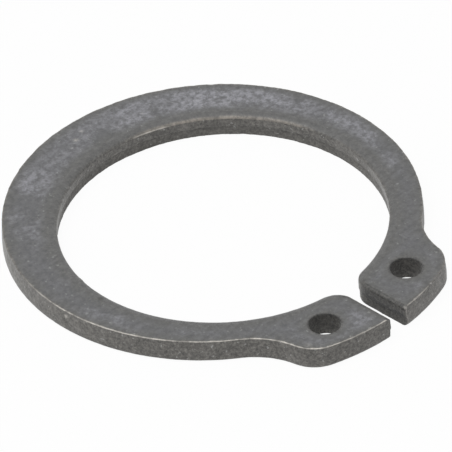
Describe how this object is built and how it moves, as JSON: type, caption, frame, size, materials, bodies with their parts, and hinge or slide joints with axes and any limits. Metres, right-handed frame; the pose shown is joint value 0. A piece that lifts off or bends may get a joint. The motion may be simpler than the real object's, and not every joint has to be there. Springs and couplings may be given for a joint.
{
  "type": "external retaining ring",
  "caption": "Flat open ring of spring steel that snaps into a groove round a shaft and stops a part sliding off; each end has a lug with a hole for pliers.",
  "frame": {"origin": "on the shaft's axis, halfway through the ring's thickness", "axes": "+Z along the shaft, out of the face with the sharp outer edge; -Y towards the gap between the lugs; +X to the right when looking from +Z with the gap below"},
  "size_m": [0.021, 0.0232, 0.0012],
  "materials": {
    "phosphated_steel": "matt dark grey phosphate and oil over hardened spring steel, rubbed lighter on the upper face and brighter on the sharp upper edge"
  },
  "bodies": {
    "root": {"retaining_ring": "phosphated_steel"}
  },
  "joints": []
}
